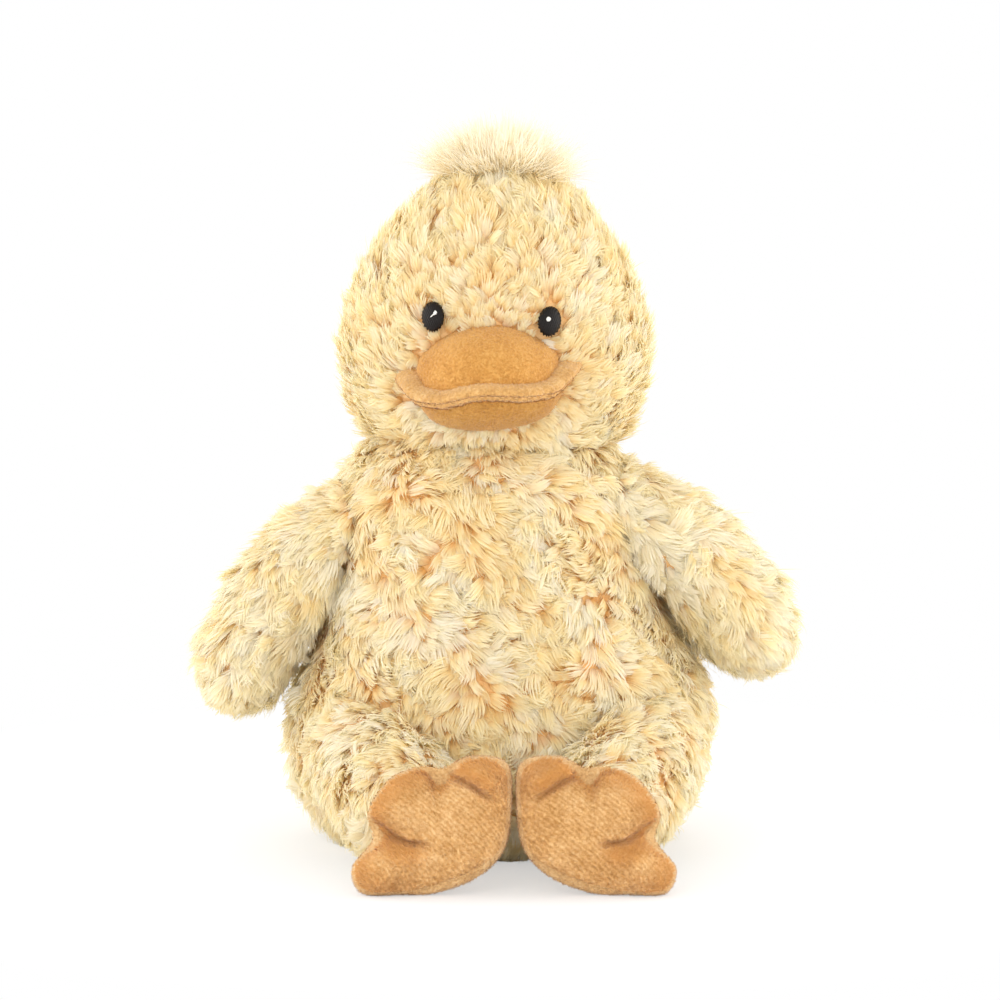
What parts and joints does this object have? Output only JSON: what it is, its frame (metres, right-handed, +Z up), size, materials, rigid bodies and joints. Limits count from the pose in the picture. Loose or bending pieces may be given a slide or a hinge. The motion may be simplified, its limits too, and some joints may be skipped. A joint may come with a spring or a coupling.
{
  "type": "plush duck",
  "caption": "Seated plush duckling with shaggy cream pile, tan velour bill and webbed feet; its head turns and nods, its wings and legs lift and its feet flop.",
  "frame": {"origin": "middle of the flat underside of the seat, on the surface that the toy sits on", "axes": "+Z up, the face looks along -Y, +X to the toy's own left"},
  "size_m": [0.2144, 0.2141, 0.2647],
  "materials": {
    "cream_plush": "long curly shaggy pile, matte",
    "tan_velour": "short soft pile, matte",
    "crest_pile": "long fine hair, matte",
    "black_thread": "satin stitch, slight sheen",
    "white_thread": "satin stitch, slight sheen",
    "fibre_fill": "loose polyester fibre, matte",
    "pellet_bag": "plain woven lining, matte",
    "seam_thread": "spun polyester thread"
  },
  "bodies": {
    "torso": {"body_front_left_panel": "cream_plush", "body_front_right_panel": "cream_plush", "body_back_left_panel": "cream_plush", "body_back_right_panel": "cream_plush", "seat_panel": "cream_plush", "body_stuffing": "fibre_fill", "pellet_bag": "pellet_bag", "tail_cover": "cream_plush", "tail_stuffing": "fibre_fill"},
    "neck": {"neck_seam_thread": "seam_thread"},
    "head": {"head_left_panel": "cream_plush", "head_right_panel": "cream_plush", "head_stuffing": "fibre_fill", "crest_tuft": "crest_pile", "left_eye": "black_thread", "left_eye_glint": "white_thread", "right_eye": "black_thread", "right_eye_glint": "white_thread", "bill_upper_cover": "tan_velour", "bill_upper_stuffing": "fibre_fill", "bill_lower_pouch": "tan_velour", "bill_lip": "tan_velour"},
    "left_wing": {"left_wing_cover": "cream_plush", "left_wing_stuffing": "fibre_fill"},
    "right_wing": {"right_wing_cover": "cream_plush", "right_wing_stuffing": "fibre_fill"},
    "left_leg": {"left_leg_cover": "cream_plush", "left_leg_stuffing": "fibre_fill"},
    "left_foot": {"left_foot_sole": "tan_velour", "left_foot_instep": "tan_velour", "left_foot_stuffing": "fibre_fill"},
    "right_leg": {"right_leg_cover": "cream_plush", "right_leg_stuffing": "fibre_fill"},
    "right_foot": {"right_foot_sole": "tan_velour", "right_foot_instep": "tan_velour", "right_foot_stuffing": "fibre_fill"}
  },
  "joints": [
    {"name": "head_turn", "type": "hinge", "parent": "torso", "child": "neck", "pos_m": [-0.00659, 0, 0.10479], "axis": [-0.0628, 0, 0.998], "range_deg": [-25, 25], "stiffness_Nm_per_rad": 0.3},
    {"name": "head_nod", "type": "hinge", "parent": "neck", "child": "head", "pos_m": [-0.00659, 0, 0.10479], "axis": [0.9984, -0.0436, -0.0349], "range_deg": [-8, 8], "stiffness_Nm_per_rad": 0.5},
    {"name": "left_wing_lift", "type": "hinge", "parent": "torso", "child": "left_wing", "pos_m": [0.03919, 0, 0.142], "axis": [0, -1, 0], "range_deg": [0, 70]},
    {"name": "right_wing_lift", "type": "hinge", "parent": "torso", "child": "right_wing", "pos_m": [-0.05668, 0, 0.13597], "axis": [0, 1, 0], "range_deg": [0, 70]},
    {"name": "left_leg_lift", "type": "hinge", "parent": "torso", "child": "left_leg", "pos_m": [0.04408, -0.05376, 0.05831], "axis": [-1, 0, 0], "range_deg": [0, 30]},
    {"name": "left_foot_flop", "type": "hinge", "parent": "left_leg", "child": "left_foot", "pos_m": [0.0327, -0.09099, 0.022], "axis": [1, 0, 0], "range_deg": [-8, 15], "stiffness_Nm_per_rad": 0.2},
    {"name": "right_leg_lift", "type": "hinge", "parent": "torso", "child": "right_leg", "pos_m": [-0.04408, -0.05376, 0.05831], "axis": [-1, 0, 0], "range_deg": [0, 30]},
    {"name": "right_foot_flop", "type": "hinge", "parent": "right_leg", "child": "right_foot", "pos_m": [-0.0327, -0.09099, 0.022], "axis": [1, 0, 0], "range_deg": [-8, 15], "stiffness_Nm_per_rad": 0.2}
  ]
}
